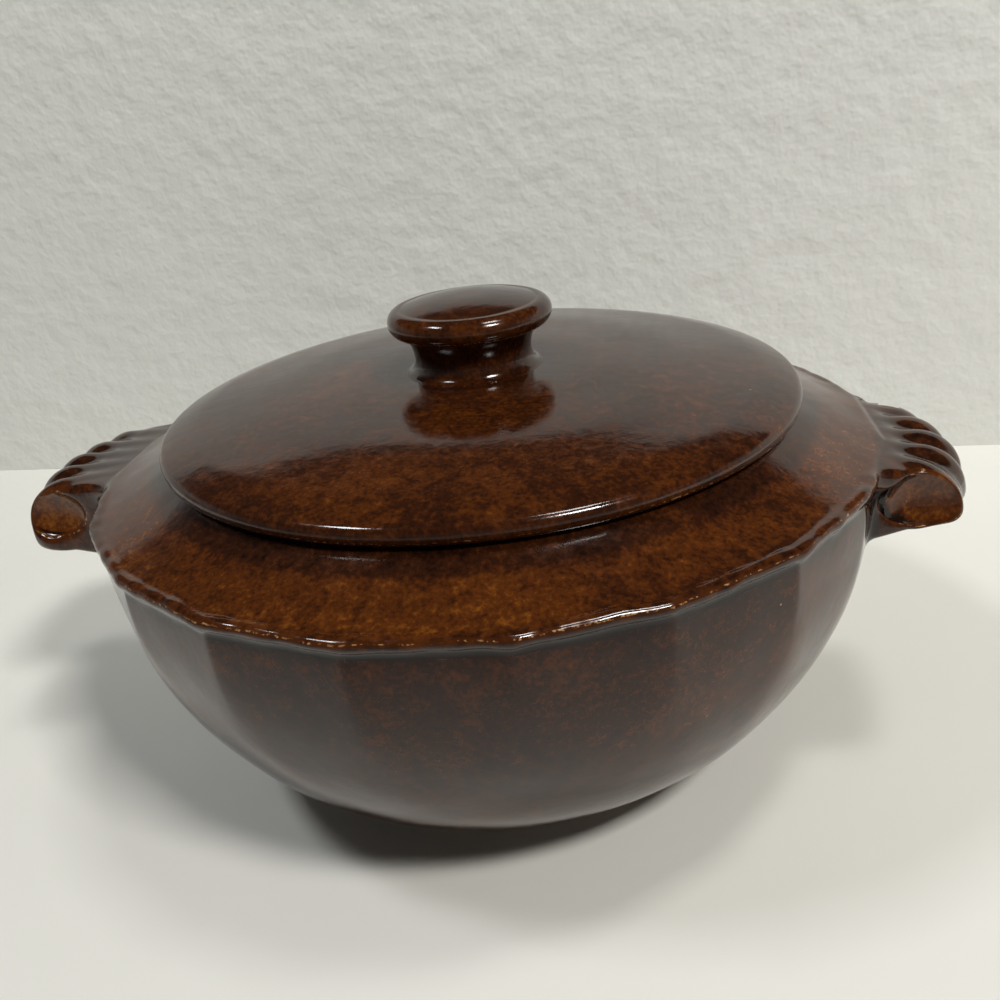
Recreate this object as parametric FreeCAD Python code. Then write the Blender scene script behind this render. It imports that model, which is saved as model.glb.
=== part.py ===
import FreeCAD, Part
import math
import os

# Stoneware bean pot: a panelled bowl with a sloping shoulder, two fluted lug handles and a lift-off lid.
# Millimetres, +Z up. The origin is the centre of the foot's flat underside; the lugs lie along X.

# Bowl
ridgeRadius = 119.2        # to the outside of the bead, the widest line of the pot between the lugs
ridgeHeight = 98.0         # to the middle of the bead
bellyInset = 13.8          # from the wall at the ridge in to where it turns into the round bottom
bellyHeight = 41.5
footRadius = 66.0
footHeight = 4.6
footBevel = 1.0
wallThickness = 7.0
floorThickness = 8.0
panelCount = 20
panelDepth = 1.9           # cut of a flat panel into the round wall at the ridge
panelFootHeight = 33.0     # the flats have run out into the round bottom at this height
panelFootClearance = 0.3   # they stand this far clear of it there
panelTurn = 4.5            # degrees that the pattern of flats is set round from the line of the lugs

# Shoulder
beadRadius = 2.2
beadProud = 1.4            # the bead stands this far out of the wall
splitDrop = 0.9            # from the bead down to the seam of bowl and shoulder
beadCornerRadius = 14.0
beadOverrun = 0.5          # degrees that it runs on into a lug
beadTipLength = 9.0        # it dies away over this length at each end
beadTipRadius = 1.0
mouthRadius = 82.0
rimWidth = 6.5             # flat rim round the mouth, which the lid rests on
shoulderRise = 14.0        # from the middle of the bead to the rim
shoulderEdge = 0.7         # upright edge of the shoulder over the middle of the bead
shoulderDish = 1.4         # hollow of the slope between bead and rim
neckDepth = 7.0            # upright wall of the mouth

# Lugs
lugReachRight = 24.0       # from the wall to the lug's end; the lugs were set by hand
lugReachLeft = 36.2
lugDrop = 0.8              # from the bead's middle down to the crest of the ribs
lugThicknessRight = 16.0   # from the crest of the ribs to the underside, at the end
lugThicknessLeft = 21.5
lugWebThickness = 5.0      # the flare into the bead is this thin under the bead's middle
lugCurl = 14.0             # radius of the curl at the end
lugHalfWidth = 27.5
lugRootHalfWidth = 40.0    # of the flare, at the wall
lugNeckReach = 11.2        # from the wall to where the hollow flare ends
lugUnderslope = 7.0        # fall of the underside from the end to the wall
lugEndTaper = 1.5          # lean of the end below the curl
ribCount = 5
ribRadius = 6.8
ribPitch = 12.0            # between ribs, measured along the lug's end
ribDepth = 2.3             # from a rib's crest to the clay between ribs
ribFade = 9.0              # length over which the ribs rise out of the shoulder
ribSetback = 0.9           # each rib outward from the middle ends this much shorter, times its place squared
thumbLength = 24.0         # oval dish in each side of a lug
thumbTall = 14.5
thumbDepth = 2.8
thumbDrop = 9.2            # middle of the dish below the crest
thumbInset = 15.0          # middle of the dish in from the lug's end

# Lid
lidRadius = 96.0
lidEdge = 3.0              # height of the rounded edge
lidRise = 10.9             # from the rim's plane to the top of the dome
lidThickness = 6.0
lidShoulderRadius = 84.0   # where the dome turns down towards its edge
lidShoulderDrop = 4.8      # fall of the dome from its crown to there
flangeDepth = 8.0
flangeThickness = 5.0
flangeClearance = 1.2      # between the flange and the mouth
flangeBevel = 1.5

# Knob
knobRadius = 24.9
knobHeight = 22.3          # from the dome to the top of the knob
knobCapHeight = 13.2
knobEdgeHeight = 7.4       # the cap's rounded edge
knobEdgeDepth = 4.4        # how far the rounded edge reaches in from the cap's outside
knobNeckRadius = 17.8
knobFootRadius = 22.5

# Worked out from the sizes above
wallRadius = ridgeRadius - beadProud
splitHeight = ridgeHeight - beadRadius - splitDrop   # bowl and shoulder are joined at this height
rimHeight = ridgeHeight + shoulderRise
rimOuterRadius = mouthRadius + rimWidth
panelAngle = 360.0 / panelCount
flatRadius = wallRadius - panelDepth
bellyRadius = wallRadius - bellyInset
lugTop = ridgeHeight - lugDrop
lugRootAngle = math.degrees(math.asin(lugRootHalfWidth / wallRadius))
domeTop = rimHeight + lidRise
flangeRadius = mouthRadius - flangeClearance

up = FreeCAD.Vector(0, 0, 1)
origin = FreeCAD.Vector(0, 0, 0)
half = math.sqrt(0.5)


def at(x, z, y=0.0):
    return FreeCAD.Vector(x, y, z)


def line(a, b):
    return Part.makeLine(a, b)


def arc(a, b, c):
    return Part.Arc(a, b, c).toShape()


def tangentArc(start, direction, end):
    # the arc from start to end that leaves start along direction, with its direction at the end
    chord = end - start
    normal = (chord - direction * chord.dot(direction)).normalize()
    radius = chord.dot(chord) / (2 * chord.dot(normal))
    centre = start + normal * radius
    middle = centre + ((start + end) * 0.5 - centre).normalize() * radius
    along = chord.normalize()
    return arc(start, middle, end), along * (2 * along.dot(direction)) - direction


def turned(edges):
    return Part.Face(Part.Wire(edges)).revolve(origin, up, 360)


def extrudedRing(edges, halfWidth):
    # a section standing in the XZ plane, drawn out to both sides of it
    face = Part.Face(Part.Wire(edges))
    face.translate(FreeCAD.Vector(0, -halfWidth, 0))
    return face.extrude(FreeCAD.Vector(0, 2 * halfWidth, 0))


def bowlProfile(inset, lift):
    # from the ridge down: upright, a large arc to the belly, a smaller arc to the foot
    top = at(wallRadius - inset, splitHeight)
    belly = at(bellyRadius - inset, bellyHeight + lift / 2)
    foot = at(footRadius - inset, footHeight + lift)
    upper, direction = tangentArc(top, up * -1, belly)
    lower, direction = tangentArc(belly, direction, foot)
    return [upper, lower], top, foot


def bowlBlank():
    arcs, top, foot = bowlProfile(0, 0)
    axisLow = at(0, foot.z)
    axisHigh = at(0, top.z)
    return turned(arcs + [line(foot, axisLow), line(axisLow, axisHigh), line(axisHigh, top)])


def bowlCavity():
    arcs, top, foot = bowlProfile(wallThickness, floorThickness)
    axisLow = at(0, foot.z)
    axisHigh = at(0, top.z)
    return turned(arcs + [line(foot, axisLow), line(axisLow, axisHigh), line(axisHigh, top)])


def wallRadiusAt(height):
    # radius of the round bottom, found where its arc crosses the height
    lower = bowlProfile(0, 0)[0][1].Curve
    rise = height - lower.Center.z
    return lower.Center.x + math.sqrt(lower.Radius ** 2 - rise ** 2)


def panelCutter():
    # everything outside one flat panel, which runs out where it meets the round bottom
    foot = at(wallRadiusAt(panelFootHeight) + panelFootClearance, panelFootHeight)
    top = at(flatRadius, splitHeight)
    face = tangentArc(top, up * -1, foot)[0]
    outside = ridgeRadius * 1.2
    high = at(flatRadius, rimHeight)
    edges = [face, line(foot, at(outside, foot.z)), line(at(outside, foot.z), at(outside, high.z)),
             line(at(outside, high.z), high), line(high, top)]
    return extrudedRing(edges, ridgeRadius * math.tan(math.radians(panelAngle)))


def panelCutters():
    cutters = []
    for i in range(panelCount):
        cutter = panelCutter()
        cutter.rotate(origin, up, -90 + panelTurn + i * panelAngle)
        cutters.append(cutter)
    return cutters


def shoulderSlope():
    # the slope from the bead up to the rim, slightly hollow
    low = at(wallRadius, ridgeHeight + shoulderEdge)
    high = at(rimOuterRadius, rimHeight)
    middle = (low + high) * 0.5 - up * shoulderDish
    return low, middle, high


def shoulderBlank():
    low, middle, high = shoulderSlope()
    bottom = at(wallRadius, splitHeight)
    axisLow = at(0, splitHeight)
    axisHigh = at(0, rimHeight)
    edges = [line(axisLow, bottom), line(bottom, low), arc(low, middle, high),
             line(high, axisHigh), line(axisHigh, axisLow)]
    return turned(edges)


def shoulderCavity():
    low = at(wallRadius - wallThickness, splitHeight)
    neck = at(mouthRadius, rimHeight - neckDepth)
    rim = at(mouthRadius, rimHeight)
    axisLow = at(0, splitHeight)
    axisHigh = at(0, rimHeight)
    edges = [line(axisLow, low), line(low, neck), line(neck, rim), line(rim, axisHigh),
             line(axisHigh, axisLow)]
    return turned(edges)


def polygonPoint(inner, turn):
    # point on the panelled outline in the direction turn, where inner is the radius to a flat's middle
    fromFlat = (turn - panelTurn + panelAngle / 2) % panelAngle - panelAngle / 2
    reach = inner / math.cos(math.radians(fromFlat))
    angle = math.radians(turn - 90)
    return at(reach * math.cos(angle), ridgeHeight, reach * math.sin(angle))


def beadPath(start, end):
    # along the flats on one side of the pot, with a small round corner between panels
    cornerRadius = (ridgeRadius - beadRadius)
    halfAngle = math.radians(panelAngle / 2)
    inner = cornerRadius * math.cos(halfAngle)
    trim = beadCornerRadius * math.tan(halfAngle)
    sag = beadCornerRadius / math.cos(halfAngle) - beadCornerRadius
    # a corner too near an end for its round is left out
    nearEnd = math.degrees(1.5 * trim / inner)
    corner = math.ceil((start + nearEnd - panelTurn) / panelAngle - 0.5) + 0.5
    points = [polygonPoint(inner, start)]
    while corner * panelAngle + panelTurn < end - nearEnd:
        points.append(polygonPoint(inner, corner * panelAngle + panelTurn))
        corner += 1
    points.append(polygonPoint(inner, end))
    edges = []
    last = points[0]
    for before, here, after in zip(points, points[1:], points[2:]):
        inward = (before - here).normalize()
        onward = (after - here).normalize()
        middle = here + (inward + onward).normalize() * sag
        edges.append(line(last, here + inward * trim))
        edges.append(arc(here + inward * trim, middle, here + onward * trim))
        last = here + onward * trim
    edges.append(line(last, points[-1]))
    return Part.Wire(edges)


def bead(side):
    # from lug to lug, on the front for side 0 and on the back for side 180, dying away at each end
    span = 90 - lugRootAngle + beadOverrun
    path = beadPath(side - span, side + span)
    points = [v.Point for v in path.OrderedVertexes]
    backward = (points[0] - points[1]).normalize()
    onward = (points[-1] - points[-2]).normalize()
    section = Part.Wire([Part.makeCircle(beadRadius, points[0], backward)])
    run = path.makePipeShell([section], True, False)
    tips = [Part.makeCone(beadRadius, beadTipRadius, beadTipLength, points[0], backward),
            Part.makeCone(beadRadius, beadTipRadius, beadTipLength, points[-1], onward)]
    return run.fuse(tips)


def lugBrim(reach, lugBottom):
    # the lug as a brim all round: it runs on from the shoulder, drops between the ribs and curls over
    low, middle, high = shoulderSlope()
    fall = (middle.z - low.z) / (low.x - middle.x)
    inner = at(wallRadius - wallThickness, low.z + fall * wallThickness * 0.9)
    level = at(reach - lugCurl - ribFade, lugTop)
    fadeEnd = at(reach - lugCurl, lugTop - ribDepth)
    centre = at(reach - lugCurl, lugTop - lugCurl)
    curlRadius = lugCurl - ribDepth
    curlEnd = at(reach - ribDepth, centre.z)
    bottom = at(reach - ribDepth - lugEndTaper, lugBottom)
    root = at(wallRadius - wallThickness, lugBottom - lugUnderslope)
    edges = [line(inner, low), line(low, level), line(level, fadeEnd),
             arc(fadeEnd, at(centre.x + curlRadius * half, centre.z + curlRadius * half), curlEnd),
             line(curlEnd, bottom), line(bottom, root), line(root, inner)]
    return turned(edges)


def lugSide(endX, rootHalfWidth, side):
    # one long side of the plan, from the axis outward
    neckX = (flatRadius - panelDepth) * math.cos(math.radians(lugRootAngle))
    axis = at(0, 0, rootHalfWidth * side)
    root = at(neckX, 0, rootHalfWidth * side)
    neck = at(wallRadius + lugNeckReach, 0, lugHalfWidth * side)
    corner = at(endX - ribRadius, 0, lugHalfWidth * side)
    cornerEnd = at(endX, 0, (lugHalfWidth - ribRadius) * side)
    cornerMiddle = at(corner.x + ribRadius * half, 0, cornerEnd.y + ribRadius * half * side)
    flare = tangentArc(neck, FreeCAD.Vector(-1, 0, 0), root)[0]
    return [line(axis, root), flare, line(neck, corner), arc(corner, cornerMiddle, cornerEnd)]


def lugPlan(reach, rootHalfWidth):
    # seen from above: as wide at the wall as asked, a hollow flare, then the rounded end
    endX = math.sqrt(reach ** 2 - lugHalfWidth ** 2) - ribSetback * 4
    endY = lugHalfWidth - ribRadius
    far = lugSide(endX, rootHalfWidth, 1)
    near = lugSide(endX, rootHalfWidth, -1)
    tip = arc(at(endX, 0, endY), at(reach, 0), at(endX, 0, -endY))
    closing = line(at(0, 0, -rootHalfWidth), at(0, 0, rootHalfWidth))
    return Part.Face(Part.Wire(far + [tip] + near[::-1] + [closing]))


def lugOutline(reach):
    # full depth where the ribs are, and only a thin web out in the flare
    web = lugPlan(reach, lugRootHalfWidth).extrude(up * rimHeight)
    web.translate(up * (ridgeHeight - lugWebThickness))
    body = lugPlan(reach, lugHalfWidth + ribDepth).extrude(up * rimHeight)
    return body.fuse(web)


def rib(reach, lugBottom, shortening):
    # one rounded rib along the top and down over the curl
    level = lugTop - ribRadius
    end = reach - ribRadius - shortening
    bend = lugCurl - ribRadius
    start = at(wallRadius - wallThickness, level)
    bendStart = at(end - bend, level)
    bendMiddle = at(end - bend + bend * half, level - bend + bend * half)
    bendEnd = at(end, level - bend)
    low = at(end, lugBottom - lugUnderslope)
    path = Part.Wire([line(start, bendStart), arc(bendStart, bendMiddle, bendEnd), line(bendEnd, low)])
    section = Part.Wire([Part.makeCircle(ribRadius, start, FreeCAD.Vector(1, 0, 0))])
    return path.makePipeShell([section], True, False)


def ribs(reach, lugBottom):
    middle = (ribCount - 1) / 2
    pitchAngle = math.degrees(ribPitch / reach)
    pieces = []
    for i in range(ribCount):
        place = i - middle
        piece = rib(reach, lugBottom, ribSetback * place * place)
        piece.rotate(origin, up, place * pitchAngle)
        pieces.append(piece)
    return pieces


def belowLug(reach, lugBottom):
    # the space under the lug's sloping underside, which trims the ribs' ends
    inner = at(wallRadius - wallThickness, lugBottom - lugUnderslope)
    outer = at(reach - ribDepth - lugEndTaper, lugBottom)
    slope = (outer.z - inner.z) / (outer.x - inner.x)
    far = at(reach + ribRadius, outer.z + slope * (reach + ribRadius - outer.x))
    depth = ribRadius * 2 + lugUnderslope
    farLow = far - up * depth
    innerLow = inner - up * depth
    return turned([line(inner, far), line(far, farLow), line(farLow, innerLow), line(innerLow, inner)])


def thumbDish(reach, side):
    # a spindle lying along the lug, sunk into its side to the dish's depth
    ringRadius = (thumbTall ** 2 / 4 + thumbDepth ** 2) / (2 * thumbDepth)
    lengthRadius = (thumbLength ** 2 / 4 + thumbDepth ** 2) / (2 * thumbDepth)
    halfSpindle = math.sqrt(lengthRadius ** 2 - (lengthRadius - ringRadius) ** 2)
    middle = at(reach - thumbInset, lugTop - thumbDrop, side * (lugHalfWidth + ringRadius - thumbDepth))
    along = FreeCAD.Vector(halfSpindle, 0, 0)
    outline = [arc(middle - along, middle + FreeCAD.Vector(0, ringRadius, 0), middle + along),
               line(middle + along, middle - along)]
    return Part.Face(Part.Wire(outline)).revolve(middle, FreeCAD.Vector(1, 0, 0), 360)


def lug(reach, thickness, envelope):
    lugBottom = lugTop - thickness
    core = lugBrim(reach, lugBottom).common(lugOutline(reach))
    below = belowLug(reach, lugBottom)
    shape = core.fuse([piece.cut(below) for piece in ribs(reach, lugBottom)])
    shape = shape.cut([thumbDish(reach, 1), thumbDish(reach, -1)]).cut(envelope)
    return max(shape.Solids, key=lambda solid: solid.Volume)


def lidDome():
    seatInner = flangeRadius - flangeThickness
    edgeReach = lidRadius - lidEdge / 2
    crown = at(knobFootRadius, domeTop)
    shoulder = at(lidShoulderRadius, domeTop - lidShoulderDrop)
    edgeTop = at(edgeReach, rimHeight + lidEdge)
    edgeFoot = at(edgeReach, rimHeight)
    seat = at(seatInner, rimHeight)
    under = at(0, domeTop - lidThickness)
    dome, direction = tangentArc(crown, FreeCAD.Vector(1, 0, 0), shoulder)
    brow = tangentArc(shoulder, direction, edgeTop)[0]
    vault = tangentArc(under, FreeCAD.Vector(1, 0, 0), seat)[0]
    edges = [line(at(0, domeTop), crown), dome, brow, arc(edgeTop, at(lidRadius, rimHeight + lidEdge / 2), edgeFoot),
             line(edgeFoot, seat), vault, line(under, at(0, domeTop))]
    return turned(edges)


def lidFlange():
    inner = flangeRadius - flangeThickness
    low = rimHeight - flangeDepth
    edges = [line(at(inner, rimHeight), at(flangeRadius, rimHeight)),
             line(at(flangeRadius, rimHeight), at(flangeRadius, low + flangeBevel)),
             line(at(flangeRadius, low + flangeBevel), at(flangeRadius - flangeBevel, low)),
             line(at(flangeRadius - flangeBevel, low), at(inner, low)),
             line(at(inner, low), at(inner, rimHeight))]
    return turned(edges)


def lidKnob():
    top = at(0, domeTop + knobHeight)
    edgeMiddle = at(knobRadius, top.z - knobCapHeight / 2)
    edgeTop = at(knobRadius - knobEdgeDepth, edgeMiddle.z + knobEdgeHeight / 2)
    edgeLow = at(edgeTop.x, edgeMiddle.z - knobEdgeHeight / 2)
    foot = at(knobFootRadius, domeTop)
    waist = at(knobNeckRadius, (foot.z + edgeLow.z) / 2)
    cap = tangentArc(top, FreeCAD.Vector(1, 0, 0), edgeTop)[0]
    edges = [line(at(0, domeTop), foot), arc(foot, waist, edgeLow), arc(edgeLow, edgeMiddle, edgeTop),
             cap, line(top, at(0, domeTop))]
    return turned(edges)


def foot():
    # a flat bare disc under the bowl
    edges = [line(at(0, footHeight), at(footRadius, footHeight)),
             line(at(footRadius, footHeight), at(footRadius, footBevel)),
             line(at(footRadius, footBevel), at(footRadius - footBevel, 0)),
             line(at(footRadius - footBevel, 0), origin),
             line(origin, at(0, footHeight))]
    return turned(edges)


def potPieces():
    cutters = panelCutters()
    bowlSolid = bowlBlank().cut(cutters)
    shoulderSolid = shoulderBlank().cut(cutters).fuse([bead(0), bead(180)])
    envelope = bowlSolid.fuse(shoulderSolid)
    turnedEnvelope = envelope.copy()
    turnedEnvelope.rotate(origin, up, 180)
    right = lug(wallRadius + lugReachRight, lugThicknessRight, envelope)
    left = lug(wallRadius + lugReachLeft, lugThicknessLeft, turnedEnvelope)
    left.rotate(origin, up, 180)
    return {"bowl": bowlSolid.cut(bowlCavity()), "shoulder": shoulderSolid.cut(shoulderCavity()),
            "foot": foot(), "lug_right": right, "lug_left": left}


def lidPieces():
    return {"lid_dome": lidDome(), "lid_flange": lidFlange(), "lid_knob": lidKnob()}


os.makedirs("parts", exist_ok=True)
pieces = potPieces()
pieces.update(lidPieces())
for name, shape in pieces.items():
    if len(shape.Solids) == 1:
        shape = shape.Solids[0]
    print(name, "solids", len(shape.Solids), "faces", len(shape.Faces), "valid", shape.isValid(),
          "volume", round(shape.Volume / 1000, 1))
    shape.exportStep("parts/" + name + ".step")
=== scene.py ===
import math

import bmesh
import bpy
import numpy as np
from mathutils import Matrix, Vector


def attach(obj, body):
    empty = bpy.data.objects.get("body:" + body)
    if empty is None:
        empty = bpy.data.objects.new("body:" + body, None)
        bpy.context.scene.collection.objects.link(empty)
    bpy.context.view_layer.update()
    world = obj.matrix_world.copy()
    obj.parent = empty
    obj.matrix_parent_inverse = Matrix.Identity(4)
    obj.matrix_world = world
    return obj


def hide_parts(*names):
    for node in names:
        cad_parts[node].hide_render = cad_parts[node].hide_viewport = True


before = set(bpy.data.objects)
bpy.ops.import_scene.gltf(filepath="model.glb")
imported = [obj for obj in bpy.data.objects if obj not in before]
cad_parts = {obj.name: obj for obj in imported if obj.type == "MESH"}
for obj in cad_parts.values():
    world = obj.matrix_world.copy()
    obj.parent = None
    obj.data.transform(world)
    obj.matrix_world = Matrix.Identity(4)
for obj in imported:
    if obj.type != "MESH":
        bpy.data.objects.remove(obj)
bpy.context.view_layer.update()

mm = 0.001


# Camera
camera = {
    "place": (68.3, -287.0, 210.9), "down": 24.43, "roll": 6.35, "turn": 12.8, "lens": 36.0, "sensor": 36.0,
}


def placeCamera(c):
    down, roll = math.radians(c["down"]), math.radians(c["roll"])
    forward = Vector((0, math.cos(down), -math.sin(down)))
    level = Vector((0, math.sin(down), math.cos(down)))
    right = math.cos(roll) * Vector((1, 0, 0)) - math.sin(roll) * level
    top = math.sin(roll) * Vector((1, 0, 0)) + math.cos(roll) * level
    turn = Matrix.Rotation(math.radians(c["turn"]), 3, "Z")
    axes = Matrix((turn @ right, turn @ top, turn @ -forward)).transposed()
    data = bpy.data.cameras.new("photoCamera")
    data.lens = c["lens"]
    data.sensor_width = c["sensor"]
    data.clip_start = 0.01
    holder = bpy.data.objects.new("photoCamera", data)
    bpy.context.collection.objects.link(holder)
    holder.matrix_world = Matrix.Translation(Vector(c["place"]) * mm) @ axes.to_4x4()
    bpy.context.scene.camera = holder


placeCamera(camera)


# Shapes are given as fields, in millimetres: below nought is clay, above is air
def softMax(a, b, k):
    h = np.clip(0.5 + 0.5 * (a - b) / k, 0, 1)
    return b + (a - b) * h + k * h * (1 - h)


def softMin(a, b, k):
    return -softMax(-a, -b, k)


def ease(low, high, v):
    t = np.clip((v - low) / (high - low), 0, 1)
    return t * t * (3 - 2 * t)


def ripple(x, y, z, size, seed):
    # slow unevenness of hand work, between about -1 and 1
    s = 2 * math.pi / size
    a = np.sin(s * (x + 0.6 * y) + seed) * np.cos(s * (0.8 * z - 0.5 * x) + 2.1 * seed)
    b = np.sin(1.7 * s * (y - 0.4 * z) + 3.3 * seed) * np.cos(1.3 * s * (x + 0.3 * z) - seed)
    return 0.6 * a + 0.4 * b


def sweepCentre(start, direction, end):
    # centre, radius and end direction of the arc that leaves start along direction and reaches end
    cx, cz = end[0] - start[0], end[1] - start[1]
    dot = cx * direction[0] + cz * direction[1]
    nx, nz = cx - direction[0] * dot, cz - direction[1] * dot
    size = math.hypot(nx, nz)
    nx, nz = nx / size, nz / size
    radius = (cx * cx + cz * cz) / (2 * (cx * nx + cz * nz))
    length = math.hypot(cx, cz)
    ux, uz = cx / length, cz / length
    along = 2 * (ux * direction[0] + uz * direction[1])
    centre = (start[0] + nx * radius, start[1] + nz * radius)
    return centre, radius, (ux * along - direction[0], uz * along - direction[1])


# Pot
pot = {
    "wallRadius": 117.8, "seamHeight": 94.9, "bellyRadius": 104.0, "bellyHeight": 41.5,
    "footRadius": 66.0, "footHeight": 4.6, "wall": 7.0, "floor": 8.0,
    "panels": 20, "panelTurn": 4.5, "panelDepth": 1.9, "panelFade": -0.3, "panelLow": 33.0, "panelSoft": 0.5,
    "beadRadius": 1.75, "beadRing": 117.3, "beadHeight": 98.0, "beadWave": 0.35, "beadSwell": 0.16,
    "beadEndFrom": 26.0, "beadEndTo": 39.0, "wallWave": 0.16, "shoulderWave": 0.12,
    "shoulderLow": 98.7, "rimHeight": 112.0, "rimOuter": 88.5, "mouth": 82.0, "neckLow": 105.0,
    "shoulderDish": 1.4, "shoulderThick": 6.0, "backSag": 2.4, "sagAt": 143.0, "sagWide": 24.0,
}
lugs = {
    "right": {"side": 1, "reach": 141.6, "thick": 16.0, "seed": 1.3},
    "left": {"side": -1, "reach": 153.8, "thick": 21.5, "seed": 4.1},
}
lugForm = {
    "top": 97.2, "curl": 14.0, "fade": 10.0, "halfWidth": 27.5, "rootHalfWidth": 40.0, "neck": 129.0,
    "webHeight": 92.0, "underslope": 7.0, "underRoot": 110.8, "ribs": 5, "ribRadius": 6.8, "ribPitch": 12.0,
    "ribDepth": 2.5, "ribSetback": 0.9, "ribStart": 100.0, "ribWave": 0.35, "dishLength": 25.0,
    "dishTall": 16.5, "dishDepth": 3.2, "dishDrop": 9.6, "dishInset": 15.0, "dishSoft": 0.6,
    "sideWave": 0.3, "underWave": 0.35, "flareFrom": 106.0, "flareLow": 3.2, "innerEnd": 95.0,
}


def wallField(r, z, inset, lift):
    p = pot
    start = (p["wallRadius"] - inset, p["seamHeight"])
    belly = (p["bellyRadius"] - inset, p["bellyHeight"] + lift / 2)
    foot = (p["footRadius"] - inset, p["footHeight"] + lift)
    upper, upperRadius, bend = sweepCentre(start, (0, -1), belly)
    lower, lowerRadius, _ = sweepCentre(belly, bend, foot)
    high = np.hypot(r - upper[0], np.minimum(z - upper[1], 0)) - upperRadius
    low = np.hypot(r - lower[0], z - lower[1]) - lowerRadius
    # the two arcs meet on the line through both centres
    side = (r - lower[0]) * (belly[1] - lower[1]) - (z - lower[1]) * (belly[0] - lower[0])
    return np.where(side < 0, high, low)


def shoulderTop(r, low, dish):
    p = pot
    t = (p["wallRadius"] - r) / (p["wallRadius"] - p["rimOuter"])
    return low + (p["rimHeight"] - p["shoulderLow"]) * t - 4 * dish * t * (1 - t)


def aroundPot(x, y):
    # degrees round from the front, and the angle from the middle of the nearest flat
    turn = np.degrees(np.arctan2(y, x)) + 90
    step = 360 / pot["panels"]
    return turn, np.radians((turn - pot["panelTurn"] + step / 2) % step - step / 2)


def backSag(turn, r):
    # the far right of the shoulder sits a little low
    return pot["backSag"] * np.exp(-((turn - pot["sagAt"]) / pot["sagWide"]) ** 2) * ease(92, 116, r)


def beadLine(x, y, z):
    # radius and height of the bead's middle, with a corner at each panel, and how much it swells
    turn, fromFlat = aroundPot(x, y)
    flat = pot["beadRing"] * math.cos(math.pi / pot["panels"])
    ring = softMin(flat / np.cos(fromFlat), np.full_like(turn, pot["beadRing"] - 0.12), 0.4)
    ring = ring + pot["beadWave"] * ripple(x, y, z, 31, 0.7)
    rise = pot["beadHeight"] - backSag(turn, np.hypot(x, y)) + 0.3 * ripple(x, y, z, 23, 5.1)
    return ring, rise, 1 + pot["beadSwell"] * ripple(x, y, z, 17, 3.7)


def potBodyField(x, y, z):
    p = pot
    r = np.hypot(x, y)
    turn, fromFlat = aroundPot(x, y)
    t = np.clip((z - p["panelLow"]) / (p["seamHeight"] - p["panelLow"]), 0, 1)
    depth = p["panelFade"] + (p["panelDepth"] - p["panelFade"]) * t
    plain = wallField(r, z, 0, 0)
    flat = wallField(r * np.cos(fromFlat) + depth, z, 0, 0)
    wall = softMax(plain, flat, p["panelSoft"]) + p["wallWave"] * ripple(x, y, z, 46, 1.0)
    sag = backSag(turn, r)
    # the shoulder leans, so its height is scaled to a distance
    top = (z + sag - shoulderTop(r, p["shoulderLow"], p["shoulderDish"])) * 0.91
    top = top + p["shoulderWave"] * ripple(x, y, z, 38, 2.2)
    outer = softMax(softMax(wall, top, 0.8), z - p["rimHeight"], 0.9)
    outer = softMax(outer, p["footHeight"] - z, 0.6)
    ring, rise, swell = beadLine(x, y, z)
    # the bead thins out where a lug begins
    end = ease(p["beadEndFrom"], p["beadEndTo"], np.abs(y))
    bead = np.hypot(r - ring, z - rise) - p["beadRadius"] * swell * (0.35 + 0.65 * end) + 1.2 * (1 - end)
    return softMin(outer, bead, 1.1)


def potHollowField(x, y, z):
    p = pot
    r = np.hypot(x, y)
    inner = wallField(r, z, p["wall"], p["floor"])
    floor = p["footHeight"] + p["floor"] - z
    roof = z - shoulderTop(r, p["shoulderLow"] - p["shoulderThick"], p["shoulderDish"])
    belly = softMax(softMax(inner, floor, 4.0), roof, 2.0)
    neck = softMax(r - p["mouth"], p["neckLow"] - 6 - z, 2.0)
    return softMin(belly, neck, 1.5)


def dishPlace(x, z, lug):
    # place in the oval of a dish, where 1 is its rim; x is measured out along the lug
    f = lugForm
    dx = (x - (lug["reach"] - f["dishInset"])) / (f["dishLength"] / 2)
    dz = (z - (f["top"] - f["dishDrop"])) / (f["dishTall"] / 2)
    return dx, dz


farOff = 20.0  # the field's value where a lug isn't worked out


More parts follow.
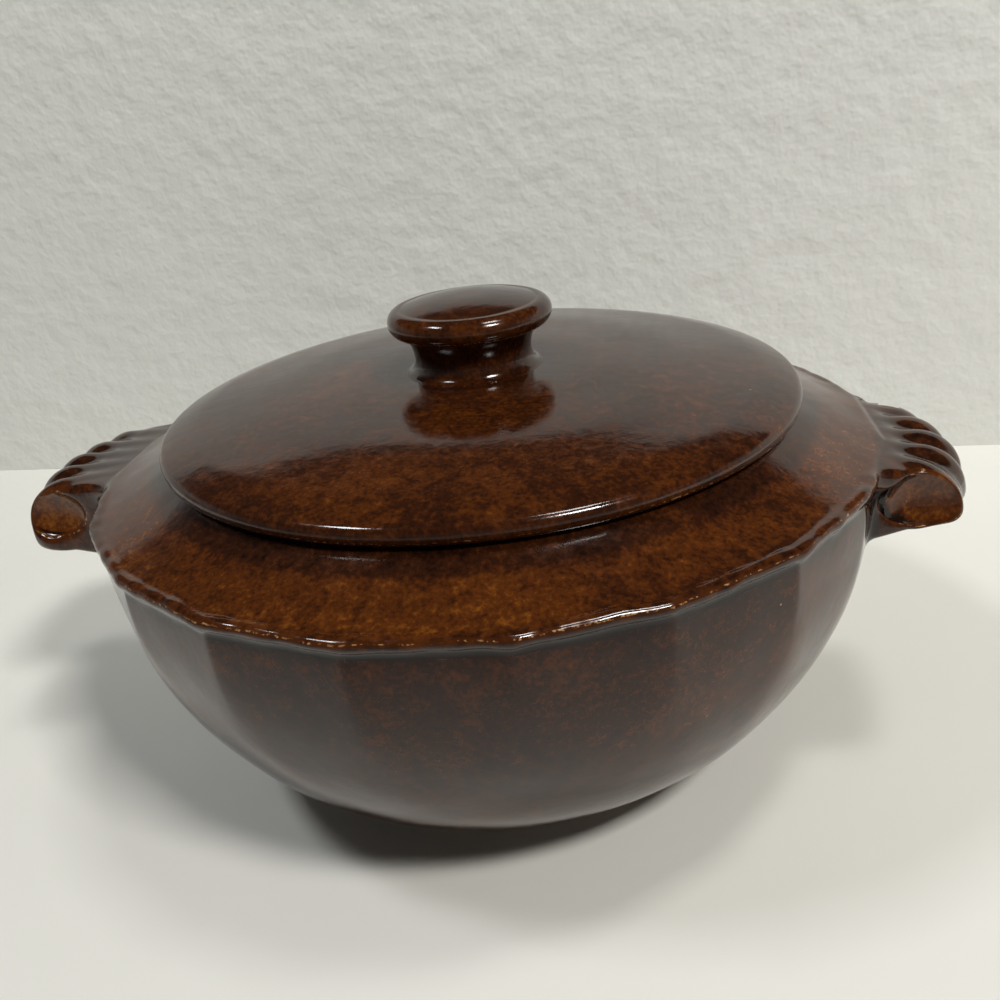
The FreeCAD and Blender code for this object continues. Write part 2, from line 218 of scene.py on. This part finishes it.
def lugField(x, y, z, lug):
    f = lugForm
    x = x * lug["side"]
    y = y * lug["side"]
    r = np.hypot(x, y)
    reach, low = lug["reach"], f["top"] - lug["thick"]
    low = low + f["underWave"] * ripple(x, y, z, 33, lug["seed"])
    curl = f["curl"] - f["ribDepth"]
    fall = ease(reach - f["curl"] - f["fade"], reach - f["curl"] + 2, r) * f["ribDepth"]
    toLug = np.clip((r - pot["wallRadius"]) / 14.0, -1, 1)
    root = pot["shoulderLow"] - 0.3
    height = root - (root - f["top"]) * toLug - fall
    qx = r - (reach - f["ribDepth"] - curl)
    qz = z - (height - curl)
    brim = np.hypot(np.maximum(qx, 0), np.maximum(qz, 0)) + np.minimum(np.maximum(qx, qz), 0) - curl
    under = low - f["underslope"] * (reach - f["ribDepth"] - r) / (reach - f["underRoot"]) - z
    # the flare into the wall, wide up in the web and small below it
    web = ease(f["webHeight"] - 3, f["webHeight"] + 3, z)
    spread = (f["rootHalfWidth"] - f["halfWidth"]) * web + f["flareLow"] * (1 - web)
    along = np.clip((f["neck"] - x) / (f["neck"] - f["flareFrom"]), 0, 1.2)
    side = np.abs(y) - f["halfWidth"] - spread * along ** 2
    side = side + f["sideWave"] * ripple(x, y, z, 29, lug["seed"] + 1)
    core = softMax(softMax(brim, under, 3.0), side, 3.2)
    core = softMax(core, np.maximum(side, brim), 0.5)
    ribs = None
    middle = (f["ribs"] - 1) / 2
    for i in range(f["ribs"]):
        place = i - middle
        angle = place * f["ribPitch"] / reach
        out = x * math.cos(angle) + y * math.sin(angle)
        across = -x * math.sin(angle) + y * math.cos(angle)
        across = across + f["ribWave"] * np.sin(out / 9.0 + place + lug["seed"])
        bend = f["curl"] - f["ribRadius"]
        end = reach - f["ribRadius"] - f["ribSetback"] * place * place
        ax = out - (end - bend)
        az = z - (f["top"] - f["ribRadius"] - bend)
        line = np.hypot(np.maximum(ax, 0), np.maximum(az, 0)) + np.minimum(np.maximum(ax, az), 0) - bend
        rib = np.hypot(line, across) - f["ribRadius"]
        rib = np.where(out < f["ribStart"], 5.0, rib)
        ribs = rib if ribs is None else softMin(ribs, rib, 0.9)
    ribs = softMax(ribs, under, 2.4)
    shape = softMin(core, ribs, 1.6)
    dx, dz = dishPlace(x, z, lug)
    deep = f["dishDepth"] + f["dishSoft"]
    for side in (-1, 1):
        dy = (y * side - f["halfWidth"] - f["dishSoft"]) / deep
        dish = (np.sqrt(dx * dx + dz * dz + dy * dy) - 1) * deep
        shape = softMax(shape, -dish, 0.9)
    return np.where(x < f["innerEnd"], farOff, shape)


def potField(points):
    x, y, z = points[:, 0], points[:, 1], points[:, 2]
    shape = potBodyField(x, y, z)
    for lug in lugs.values():
        near = (x * lug["side"] > 85) & (np.abs(y) < 62) & (z > 55)
        if near.any():
            value = np.full_like(shape, farOff)
            value[near] = lugField(x[near], y[near], z[near], lug)
            shape = softMin(shape, value, 2.2)
    return softMax(shape, -potHollowField(x, y, z), 1.4)


farLine = 9.0  # the greatest distance that is kept from a line where the glaze breaks


def breakLine(points):
    # signed distance in mm from the lines where the glaze breaks: the bead's crest and the dishes' rims
    p, f = pot, lugForm
    x, y, z = points.T
    r = np.hypot(x, y)
    ring, rise, _ = beadLine(x, y, z)
    out, lift = r - ring, z - rise
    line = lift * 0.80 - (out - p["beadRadius"]) * 0.60 - 0.9
    near = (out > -0.5) & (np.abs(lift) < 4) & ((np.abs(y) > 34) | (np.abs(x) < 60))
    line = np.where(near, line, farLine)
    for lug in lugs.values():
        sideways = np.abs(y) - f["halfWidth"]
        dx, dz = dishPlace(x * lug["side"], z, lug)
        rim = (np.sqrt(dx * dx + dz * dz) - 0.97) * f["dishTall"] / 2
        here = (np.abs(sideways) < 3.0) & (x * lug["side"] > 100)
        line = np.where(here & (np.abs(rim) < np.abs(line)), rim, line)
    return np.clip(line, -farLine, farLine)


def warmthAndShade(points):
    # where the glaze shows its amber: inside the dishes, on the shoulder and a little on the wall; lowered
    # under the lid's edge to paint shade
    x, y, z = points.T
    r = np.hypot(x, y)
    f = lugForm
    front = 0.5 - 0.5 * np.clip(y / 60, -1, 1)
    warm = (0.42 + 0.40 * front) * ease(94, 99, z) * ease(118, 115, r)
    warm = np.maximum(warm, 0.30 * ease(94, 90, z) * ease(10, 40, z))
    # painted shade: the shoulder is made dark in a ring just outside the lid's edge, for the shadow the lid
    # casts there
    warm = warm - 1.5 * ease(102.5, 96.5, r) * (z > 101)
    for lug in lugs.values():
        dx, dz = dishPlace(x * lug["side"], z, lug)
        inside = 1 - ease(0.80, 1.0, np.sqrt(dx * dx + dz * dz))
        inside = inside * ease(f["halfWidth"] - 5.5, f["halfWidth"] - 4.0, np.abs(y))
        warm = np.maximum(warm, 1.25 * inside * (x * lug["side"] > 100))
    return warm


def fieldSlope(field, points, step=0.05):
    slope = np.empty_like(points)
    for axis in range(3):
        shift = np.zeros(3)
        shift[axis] = step
        slope[:, axis] = (field(points + shift) - field(points - shift)) / (2 * step)
    return slope


def meshOf(name, points, faces):
    mesh = bpy.data.meshes.new(name)
    mesh.from_pydata((np.asarray(points) * mm).tolist(), [], faces)
    mesh.update()
    return mesh


def storeValues(mesh, table):
    for label, values in table.items():
        store = mesh.attributes.new(label, "FLOAT", "POINT")
        store.data.foreach_set("value", values.astype(np.float32))
    for poly in mesh.polygons:
        poly.use_smooth = True


def faceOutward(mesh):
    work = bmesh.new()
    work.from_mesh(mesh)
    bmesh.ops.recalc_face_normals(work, faces=work.faces)
    work.to_mesh(mesh)
    work.free()


def objectOf(name, mesh):
    holder = bpy.data.objects.new(name, mesh)
    bpy.context.collection.objects.link(holder)
    return holder


def turnedMesh(profile, count, closed=True):
    # profile points (r, z) turned round the axis; a point on the axis becomes one point
    points, rings = [], []
    for r, z in profile:
        if abs(r) < 1e-6:
            rings.append([len(points)])
            points.append((0.0, 0.0, z))
            continue
        ring = []
        for i in range(count):
            a = 2 * math.pi * i / count
            ring.append(len(points))
            points.append((r * math.cos(a), r * math.sin(a), z))
        rings.append(ring)
    faces = []
    pairs = list(zip(rings, rings[1:]))
    if closed:
        pairs.append((rings[-1], rings[0]))
    for a, b in pairs:
        for i in range(count):
            j = (i + 1) % count
            if len(a) == 1 and len(b) == 1:
                break
            if len(a) == 1:
                faces.append((a[0], b[j], b[i]))
            elif len(b) == 1:
                faces.append((a[i], a[j], b[0]))
            else:
                faces.append((a[i], a[j], b[j], b[i]))
    return points, faces


def roughLug(lug):
    # a plain block to start from, in the lug's place; the field then draws the true surface
    reach, low = lug["reach"], lugForm["top"] - lug["thick"]
    w = lugForm["halfWidth"]
    plan = [(96, -w - 8), (112, -w - 5), (124, -w), (reach - 6, -w), (reach - 2, -w + 8), (reach - 1, 0),
            (reach - 2, w - 8), (reach - 6, w), (124, w), (112, w + 5), (96, w + 8)]
    points, faces = [], []
    n = len(plan)
    for px, py in plan:
        points.append((px * lug["side"], py * lug["side"], low - 5.5 * (reach - px) / 30))
    for px, py in plan:
        drop = 5.0 if px > reach - 7 else 0.0
        points.append((px * lug["side"], py * lug["side"], 96.5 - drop))
    faces.append(tuple(range(n))[::-1])
    faces.append(tuple(range(n, 2 * n)))
    for i in range(n):
        j = (i + 1) % n
        faces.append((i, j, n + j, n + i))
    return points, faces


def wallRadiusAt(z, inset, lift, low, high):
    # the radius where the wall's surface lies at this height
    r = np.linspace(low, high, 1601)
    return float(r[np.argmin(np.abs(wallField(r, np.full_like(r, z), inset, lift)))])


def makePot(name, voxel=1.05, rounds=7):
    # a rough turned form and rough lugs, joined, then drawn onto the field in rounds
    p = pot
    heights = np.linspace(p["seamHeight"], p["footHeight"], 60)
    outer = [(wallRadiusAt(z, 0, 0, 50, 130), float(z)) for z in heights]
    top = [(117.8, 98.7), (103, 103.8), (88.5, 111.8), (82.2, 111.8), (82.2, 105)]
    inner = [(wallRadiusAt(z, p["wall"], p["floor"], 10, 125), float(z)) for z in np.linspace(93, 15, 50)]
    profile = [(0, p["footHeight"])] + outer[::-1] + top + [(98, 99.5)] + inner + [(0, 12.7)]
    points, faces = turnedMesh(profile, 240, closed=False)
    base = len(points)
    for lug in lugs.values():
        more, moreFaces = roughLug(lug)
        points += more
        faces += [tuple(i + base for i in face) for face in moreFaces]
        base = len(points)
    holder = objectOf(name, meshOf(name, points, faces))
    faceOutward(holder.data)
    remesh = holder.modifiers.new("clay", "REMESH")
    remesh.mode = "VOXEL"
    remesh.voxel_size = voxel * mm
    remesh.adaptivity = 0.0
    graph = bpy.context.evaluated_depsgraph_get()
    mesh = bpy.data.meshes.new_from_object(holder.evaluated_get(graph))
    holder.modifiers.clear()
    holder.data = mesh
    count = len(mesh.vertices)
    co = np.empty(count * 3)
    mesh.vertices.foreach_get("co", co)
    co = co.reshape(-1, 3) / mm
    edges = np.empty(len(mesh.edges) * 2, dtype=np.int64)
    mesh.edges.foreach_get("vertices", edges)
    edges = edges.reshape(-1, 2)
    degree = np.bincount(edges.ravel(), minlength=count)

    def averaged(values):
        total = np.empty_like(values)
        for axis in range(values.shape[1]):
            v = values[:, axis]
            there = np.bincount(edges[:, 0], v[edges[:, 1]], count)
            total[:, axis] = there + np.bincount(edges[:, 1], v[edges[:, 0]], count)
        return total / degree[:, None]

    for i in range(rounds):
        if i:
            co += 0.5 * (averaged(co) - co)
        value = potField(co)
        slope = fieldSlope(potField, co)
        length = np.maximum(np.linalg.norm(slope, axis=1), 0.3)
        move = np.clip(value / length, -1.2, 1.2)
        co -= slope / length[:, None] * move[:, None]
    slope = fieldSlope(potField, co)
    normal = slope / np.maximum(np.linalg.norm(slope, axis=1), 1e-6)[:, None]
    # where the surface bulges the glaze runs thin, and in hollows it pools
    soft = co.copy()
    for i in range(3):
        soft = averaged(soft)
    bulge = ((co - soft) * normal).sum(axis=1)
    bulge = averaged(bulge[:, None])[:, 0] * 3.0
    mesh.vertices.foreach_set("co", (co * mm).ravel())
    storeValues(mesh, {"bulge": bulge, "warm": warmthAndShade(co), "breakLine": breakLine(co)})
    mesh.update()
    print(name, count, "points, at most", float(np.abs(potField(co)).max().round(3)), "mm off the field")
    return holder


# Lid
lid = {
    "radius": 96.0, "edge": 3.0, "under": 112.0, "top": 122.9, "crown": 22.5, "shoulder": 84.0,
    "shoulderDrop": 4.8, "thick": 6.0, "seatInner": 75.8, "lip": 2.3, "wave": 0.10, "ringWave": 0.05,
}
knob = {
    "radius": 24.9, "height": 22.3, "cap": 13.2, "edge": 7.4, "edgeIn": 4.4, "neck": 17.8, "foot": 20.8,
    "waist": 4.2, "dip": 0.25,
}


def nearTurn(angle, other):
    # the same angle, moved by whole turns to within half a turn of the other
    while angle - other > math.pi:
        angle -= 2 * math.pi
    while angle - other < -math.pi:
        angle += 2 * math.pi
    return angle


def arcPoints(start, direction, end, count):
    centre, radius, bend = sweepCentre(start, direction, end)
    a = math.atan2(start[1] - centre[1], start[0] - centre[0])
    b = nearTurn(math.atan2(end[1] - centre[1], end[0] - centre[0]), a)
    steps = [a + (b - a) * i / count for i in range(count + 1)]
    return [(centre[0] + radius * math.cos(t), centre[1] + radius * math.sin(t)) for t in steps], bend


def threePointArc(a, b, c, count):
    ax, az, bx, bz, cx, cz = *a, *b, *c
    d = 2 * (ax * (bz - cz) + bx * (cz - az) + cx * (az - bz))
    aa, bb, cc = ax * ax + az * az, bx * bx + bz * bz, cx * cx + cz * cz
    ux = (aa * (bz - cz) + bb * (cz - az) + cc * (az - bz)) / d
    uz = (aa * (cx - bx) + bb * (ax - cx) + cc * (bx - ax)) / d
    radius = math.hypot(ax - ux, az - uz)
    t0, t1, t2 = (math.atan2(q[1] - uz, q[0] - ux) for q in (a, b, c))
    t2 = nearTurn(t2, nearTurn(t1, t0))
    steps = [t0 + (t2 - t0) * i / count for i in range(count + 1)]
    return [(ux + radius * math.cos(t), uz + radius * math.sin(t)) for t in steps]


def smoothTurned(name, profile, count, wobble, thin):
    points, faces = turnedMesh(profile, count)
    mesh = meshOf(name, wobble(np.array(points)), faces)
    faceOutward(mesh)
    storeValues(mesh, thin(np.array(points)))
    return objectOf(name, mesh)


def makeLid(name):
    d = lid
    crown = (d["crown"], d["top"])
    shoulder = (d["shoulder"], d["top"] - d["shoulderDrop"])
    edgeTop = (d["radius"] - d["edge"] / 2, d["under"] + d["edge"])
    dome, bend = arcPoints(crown, (1, 0), shoulder, 60)
    brow, bend = arcPoints(shoulder, bend, edgeTop, 20)
    lip = (edgeTop[0] - 0.3, d["under"] - d["lip"])
    rim = threePointArc(edgeTop, (d["radius"], (edgeTop[1] + lip[1]) / 2), lip, 20)
    back = threePointArc(lip, (lip[0] - 1.6, d["under"] - 0.8), (lip[0] - 3.2, d["under"]), 8)
    flat = back[1:] + [(r, d["under"]) for r in np.linspace(lip[0] - 4.5, d["seatInner"], 14)]
    vault, bend = arcPoints((0, d["top"] - d["thick"]), (1, 0), (d["seatInner"], d["under"]), 30)
    middle = [(0, d["top"])] + [(r, d["top"]) for r in (5.5, 11, 16, 20)]
    profile = middle + dome + brow[1:] + rim[1:] + flat[:-1] + vault[::-1]

    def wobble(co):
        x, y, z = co.T
        r = np.hypot(x, y)
        rings = d["ringWave"] * np.sin(r / 4.3) * ease(24, 34, r) * ease(95, 80, r)
        # taken down by its own height, so that it never stands over the plain dome
        lift = d["wave"] * ripple(x, y, z, 70, 2.9) - d["wave"] + rings - d["ringWave"]
        lift = lift * ease(26, 45, r) * ease(95.5, 88, r)
        upper = z > d["under"] + 1.0
        z = np.where(upper & (r > 23), z + lift, z)
        return np.stack([x, y, z], axis=1)

    def thin(co):
        r, z = np.hypot(co[:, 0], co[:, 1]), co[:, 2]
        line = np.where(r > 90, z - (d["under"] - d["lip"] + 1.4), farLine)
        warm = 0.26 + 0.18 * ease(20, -90, co[:, 1])
        pooled = -0.3 * np.exp(-((r - 23) / 1.6) ** 2) * (z > 120)
        return {"bulge": pooled, "breakLine": np.clip(line, -farLine, farLine), "warm": warm}

    return smoothTurned(name, profile, 288, wobble, thin)


def makeKnob(name):
    k = knob
    base = lid["top"]
    top = base + k["height"]
    edgeMiddle = (k["radius"], top - k["cap"] / 2)
    edgeTop = (k["radius"] - k["edgeIn"], edgeMiddle[1] + k["edge"] / 2)
    edgeLow = (edgeTop[0], edgeMiddle[1] - k["edge"] / 2)
    waist = (k["neck"], base + k["waist"])
    cap, bend = arcPoints((0, top), (1, 0), edgeTop, 34)
    edge = threePointArc(edgeTop, edgeMiddle, edgeLow, 26)
    neck, bend = arcPoints(waist, (0, 1), edgeLow, 16)
    # a soft fillet of glaze from the neck out onto the lid
    spread = k["foot"] - k["neck"]
    fillet = [(k["neck"] + spread * (1 - math.cos(t)), waist[1] - (waist[1] - base) * math.sin(t))
              for t in np.linspace(0, math.pi / 2, 18)]
    profile = cap + edge[1:] + neck[::-1][1:] + fillet[1:] + [(r, base) for r in (18, 12, 6, 0)]

    def wobble(co):
        x, y, z = co.T
        r = np.hypot(x, y)
        rise = np.clip((z - base) / 6, 0, 1)
        swing = 1 - 0.006 * rise * (1 + ripple(x, y, z, 34, 1.7))
        dip = k["dip"] * np.exp(-(r / 8) ** 2) * (z > base + 15)
        return np.stack([x * swing, y * swing, z - dip], axis=1)

    def thin(co):
        r, z = np.hypot(co[:, 0], co[:, 1]), co[:, 2]
        line = np.where(r > edgeLow[0] - 0.5, z - edgeLow[1] - 1.0, farLine)
        warm = 0.42 * ease(edgeTop[1] + 2, edgeTop[1] - 3, z) + 0.05 * (r > 0)
        pooled = -0.2 * np.exp(-((z - base) / 1.5) ** 2)
        return {"bulge": pooled, "breakLine": np.clip(line, -farLine, farLine), "warm": warm}

    return smoothTurned(name, profile, 160, wobble, thin)


# Finishes
glaze = {
    "deep": (0.0085, 0.0030, 0.0016), "brown": (0.028, 0.0075, 0.0024), "rust": (0.078, 0.0200, 0.0032),
    "amber": (0.190, 0.0600, 0.0070), "tan": (0.42, 0.22, 0.085),
    "speckle": 820.0, "mottle": 250.0, "cloud": 34.0, "wander": 260.0, "patches": 38.0,
    "pits": 120.0, "pitPatches": 45.0, "waves": 120.0, "roughness": 0.10, "ior": 1.46,
    "lineWidth": 0.20, "warmShare": 0.60, "potWarmth": 0.04, "lidWarmth": 0.02,
}
clay = {
    "light": (0.56, 0.44, 0.32), "dark": (0.36, 0.26, 0.17), "stained": (0.20, 0.11, 0.06),
    "grain": 900.0, "stain": 60.0,
}


class Nodes:
    def __init__(self, name):
        self.material = bpy.data.materials.new(name)
        self.material.use_nodes = True
        self.tree = self.material.node_tree
        self.tree.nodes.clear()

    def add(self, kind, inputs=None, **settings):
        node = self.tree.nodes.new(kind)
        for key, value in settings.items():
            setattr(node, key, value)
        for key, value in (inputs or {}).items():
            if isinstance(value, bpy.types.NodeSocket):
                self.tree.links.new(value, node.inputs[key])
            else:
                node.inputs[key].default_value = value
        return node

    def math(self, operation, a, b=0.0, clamp=False):
        return self.add("ShaderNodeMath", {0: a, 1: b}, operation=operation, use_clamp=clamp).outputs[0]

    def between(self, value, low, high, toLow=0.0, toHigh=1.0):
        inputs = {"Value": value, "From Min": low, "From Max": high, "To Min": toLow, "To Max": toHigh}
        return self.add("ShaderNodeMapRange", inputs, interpolation_type="SMOOTHSTEP").outputs["Result"]

    def noise(self, place, scale, detail=3.0, rough=0.55, distortion=0.0):
        node = self.add("ShaderNodeTexNoise", {"Vector": place, "Scale": scale, "Detail": detail,
                                               "Roughness": rough, "Distortion": distortion})
        return node.outputs["Fac"]

    def bump(self, height, strength, distance, invert=False, **more):
        inputs = {"Height": height, "Strength": strength, "Distance": distance, **more}
        return self.add("ShaderNodeBump", inputs, invert=invert).outputs[0]

    def blend(self, factor, a, b):
        node = self.add("ShaderNodeMix", data_type="RGBA")
        for key, value in (("Factor", factor), ("A", a), ("B", b)):
            kind = "VALUE" if key == "Factor" else "RGBA"
            socket = next(s for s in node.inputs if s.name == key and s.type == kind)
            if isinstance(value, bpy.types.NodeSocket):
                self.tree.links.new(value, socket)
            elif key == "Factor":
                socket.default_value = value
            else:
                socket.default_value = (*value, 1.0)
        return next(s for s in node.outputs if s.type == "RGBA")


def glazeMaterial(name, warmFrom):
    n = Nodes(name)
    g = glaze
    place = n.add("ShaderNodeTexCoord").outputs["Object"]
    bulge = n.add("ShaderNodeAttribute", attribute_name="bulge", attribute_type="GEOMETRY").outputs["Fac"]
    # the warm attribute is the amber share; on the pot's shoulder under the lid's edge it is also lowered to
    # paint the lid's shade
    warm = n.add("ShaderNodeAttribute", attribute_name="warm", attribute_type="GEOMETRY").outputs["Fac"]
    speckle = n.noise(place, g["speckle"], 4.0, 0.6)
    mottle = n.noise(place, g["mottle"], 4.0, 0.6, 0.5)
    cloud = n.noise(place, g["cloud"], 2.0, 0.5)
    # rust and amber specks, thick where the glaze is warm and thin elsewhere
    share = n.math("ADD", n.math("MULTIPLY", warm, g["warmShare"]), warmFrom)
    share = n.math("ADD", share, n.math("MULTIPLY", n.math("SUBTRACT", cloud, 0.5), 1.2))
    share = n.math("ADD", share, n.math("MULTIPLY", n.math("SUBTRACT", mottle, 0.5), 1.6))
    share = n.math("ADD", share, n.math("MULTIPLY", n.math("SUBTRACT", speckle, 0.5), 1.7))
    colour = n.blend(n.between(share, -0.55, 0.20), g["deep"], g["brown"])
    colour = n.blend(n.between(share, 0.05, 0.80), colour, g["rust"])
    colour = n.blend(n.between(share, 0.65, 1.40), colour, g["amber"])
    # the glaze breaks to amber and tan along the thin lines, now and then
    line = n.add("ShaderNodeAttribute", attribute_name="breakLine", attribute_type="GEOMETRY").outputs["Fac"]
    wander = n.math("MULTIPLY", n.math("SUBTRACT", n.noise(place, g["wander"], 2.0), 0.5), 1.2)
    away = n.math("ABSOLUTE", n.math("ADD", line, wander))
    patchy = n.between(n.noise(place, g["patches"], 2.0), 0.36, 0.60)
    width = n.math("MULTIPLY", n.math("ADD", patchy, 0.15), g["lineWidth"])
    beside = n.math("SUBTRACT", away, width)
    glow = n.between(beside, 0.9, 0.0)
    colour = n.blend(n.math("MULTIPLY", glow, 0.5), colour, g["rust"])
    bald = n.math("MULTIPLY", n.between(beside, 0.12, -0.12), n.between(speckle, 0.51, 0.60))
    colour = n.blend(bald, colour, g["tan"])
    # thin and rusty on the swells, deep and dark in the hollows
    thin = n.math("MULTIPLY", n.between(bulge, 0.25, 0.80), n.between(mottle, 0.42, 0.60, 0.0, 0.45))
    colour = n.blend(thin, colour, g["rust"])
    pooled = n.math("MULTIPLY", n.between(bulge, -0.10, -0.50), n.between(warm, 1.2, 0.7))
    colour = n.blend(pooled, colour, g["deep"])
    # a few pinholes
    cells = n.add("ShaderNodeTexVoronoi", {"Vector": place, "Scale": g["pits"]}, feature="F1")
    few = n.between(n.noise(place, g["pitPatches"], 1.0), 0.64, 0.68)
    pit = n.math("MULTIPLY", n.between(cells.outputs["Distance"], 0.050, 0.025), few)
    colour = n.blend(pit, colour, g["tan"])
    rough = n.between(mottle, 0.3, 0.7, g["roughness"] - 0.02, g["roughness"] + 0.06)
    rough = n.math("ADD", rough, n.math("MULTIPLY", bald, 0.25))
    waves = n.bump(n.noise(place, g["waves"], 2.0), 0.08, 0.0012)
    skin = n.bump(speckle, 0.06, 0.0003, Normal=waves)
    holes = n.bump(pit, 0.5, 0.0003, invert=True, Normal=skin)
    shader = n.add("ShaderNodeBsdfPrincipled", {"Base Color": colour, "Roughness": rough, "IOR": g["ior"],
                                                "Normal": holes})
    n.add("ShaderNodeOutputMaterial", {"Surface": shader.outputs[0]})
    return n.material


def clayMaterial(name):
    n = Nodes(name)
    place = n.add("ShaderNodeTexCoord").outputs["Object"]
    grain = n.noise(place, clay["grain"], 5.0, 0.7)
    stain = n.noise(place, clay["stain"], 3.0)
    colour = n.blend(n.between(grain, 0.38, 0.62), clay["dark"], clay["light"])
    colour = n.blend(n.between(stain, 0.55, 0.75, 0.0, 0.6), colour, clay["stained"])
    rough = n.between(grain, 0.2, 0.8, 0.72, 0.9)
    shader = n.add("ShaderNodeBsdfPrincipled", {"Base Color": colour, "Roughness": rough,
                                                "Normal": n.bump(grain, 0.35, 0.0004)})
    n.add("ShaderNodeOutputMaterial", {"Surface": shader.outputs[0]})
    return n.material


# Pieces
print("making the pot")
potGlaze = glazeMaterial("brownGlaze", glaze["potWarmth"])
lidGlaze = glazeMaterial("brownGlazeLid", glaze["lidWarmth"])
bareClay = clayMaterial("bareStoneware")
potBody = makePot("potBody")
potBody.data.materials.append(potGlaze)
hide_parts("bowl", "shoulder", "lug_left", "lug_right")
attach(potBody, "pot")

print("making the lid")
lidDome = makeLid("lidDome")
lidDome.data.materials.append(lidGlaze)
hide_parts("lid_dome")
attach(lidDome, "lid")
lidKnob = makeKnob("lidKnob")
lidKnob.data.materials.append(lidGlaze)
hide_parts("lid_knob")
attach(lidKnob, "lid")

for bareNode in ("foot", "lid_flange"):
    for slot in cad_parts[bareNode].material_slots:
        slot.material = bareClay


# Stage
stage = {
    "halfWide": 3, "wallAt": 0.222, "wallHigh": 0.30, "floorColour": (0.80, 0.79, 0.73), "floorLumps": 0.05,
    "wallColour": (0.74, 0.74, 0.70), "wallLumps": 0.5, "lumpSize": 70.0, "frontDim": 0.36,
}


def stageMaterial(name, colour, lumps):
    n = Nodes(name)
    place = n.add("ShaderNodeTexCoord").outputs["Object"]
    shade = n.noise(place, 5.0, 2.0)
    tone = n.blend(n.between(shade, 0.35, 0.65), tuple(v * 0.97 for v in colour), colour)
    # the table falls into shade in front of the pot
    front = n.add("ShaderNodeSeparateXYZ", {0: place}).outputs["Y"]
    tone = n.blend(n.between(front, -0.13, -0.36), tone, tuple(v * stage["frontDim"] for v in colour))
    bump = n.bump(n.noise(place, stage["lumpSize"], 3.0), lumps, 0.004)
    shader = n.add("ShaderNodeBsdfPrincipled", {"Base Color": tone, "Normal": bump})
    shader.inputs["Roughness"].default_value = 0.75
    # from behind, the wall lets the view through
    behind = n.add("ShaderNodeNewGeometry").outputs["Backfacing"]
    clear = n.add("ShaderNodeBsdfTransparent")
    mix = n.add("ShaderNodeMixShader", {0: behind, 1: shader.outputs[0], 2: clear.outputs[0]})
    n.add("ShaderNodeOutputMaterial", {"Surface": mix.outputs[0]})
    return n.material


def makeStage():
    s = stage
    wide, back, high = s["halfWide"], s["wallAt"], s["wallHigh"]
    floorCorners = [(-wide, -wide, 0), (wide, -wide, 0), (wide, back, 0), (-wide, back, 0)]
    wallCorners = [(-wide, back, 0), (wide, back, 0), (wide, back, high), (-wide, back, high)]
    for name, corners, material in (
            ("floor", floorCorners, stageMaterial("paleFloor", s["floorColour"], s["floorLumps"])),
            ("backdrop", wallCorners, stageMaterial("paleWall", s["wallColour"], s["wallLumps"]))):
        mesh = bpy.data.meshes.new(name)
        mesh.from_pydata(corners, [], [(0, 1, 2, 3)])
        holder = objectOf(name, mesh)
        mesh.materials.append(material)


# Light
room = {
    "tint": (1.0, 1.0, 0.98, 1.0), "paleSide": 0.46, "darkSide": 0.10, "above": 0.03,
    "acrossFrom": -0.5, "acrossTo": 0.6, "highFrom": 0.50, "highTo": 0.20,
}
lamps = {
    "roomRight": ((0.85, -0.75, 1.35), (0.05, 0.1, 0.05), (0.34, 0.20), 19.0, (1.0, 0.98, 0.95)),
    "roomLeft": ((-0.75, -0.35, 1.45), (0.05, 0.1, 0.05), (0.34, 0.20), 7.0, (0.93, 0.96, 1.0)),
    "wallWash": ((0.45, -0.1, 1.5), (0.1, 0.25, 0.15), (0.3, 0.2), 5.0, (1.0, 1.0, 0.98)),
}


def lamp(name, place, target, size, power, colour):
    data = bpy.data.lights.new(name, "AREA")
    data.shape = "RECTANGLE"
    data.size, data.size_y = size
    data.energy = power
    data.color = colour
    holder = bpy.data.objects.new(name, data)
    bpy.context.collection.objects.link(holder)
    aim = (Vector(target) - Vector(place)).to_track_quat("-Z", "Y")
    holder.matrix_world = Matrix.Translation(Vector(place)) @ aim.to_matrix().to_4x4()


def makeLight():
    world = bpy.data.worlds.new("paleRoom")
    bpy.context.scene.world = world
    world.use_nodes = True
    tree = world.node_tree
    back = tree.nodes["Background"]
    back.inputs["Color"].default_value = room["tint"]
    # pale low down on the wall's side, dim towards the room and overhead
    place = tree.nodes.new("ShaderNodeTexCoord")
    parts = tree.nodes.new("ShaderNodeSeparateXYZ")
    tree.links.new(place.outputs["Generated"], parts.inputs[0])
    across = tree.nodes.new("ShaderNodeMapRange")
    height = tree.nodes.new("ShaderNodeMapRange")
    for node, low, high in ((across, room["acrossFrom"], room["acrossTo"]),
                            (height, room["highFrom"], room["highTo"])):
        node.interpolation_type = "SMOOTHSTEP"
        node.inputs["From Min"].default_value = low
        node.inputs["From Max"].default_value = high
    across.inputs["To Min"].default_value = room["darkSide"]
    across.inputs["To Max"].default_value = room["paleSide"]
    height.inputs["To Min"].default_value = room["above"]
    tree.links.new(parts.outputs["Y"], across.inputs["Value"])
    tree.links.new(across.outputs["Result"], height.inputs["To Max"])
    tree.links.new(parts.outputs["Z"], height.inputs["Value"])
    tree.links.new(height.outputs["Result"], back.inputs["Strength"])
    for name, (place, target, size, power, colour) in lamps.items():
        lamp(name, place, target, size, power, colour)


makeStage()
makeLight()
bpy.context.scene.view_settings.view_transform = "Standard"
print("lights and stage set")
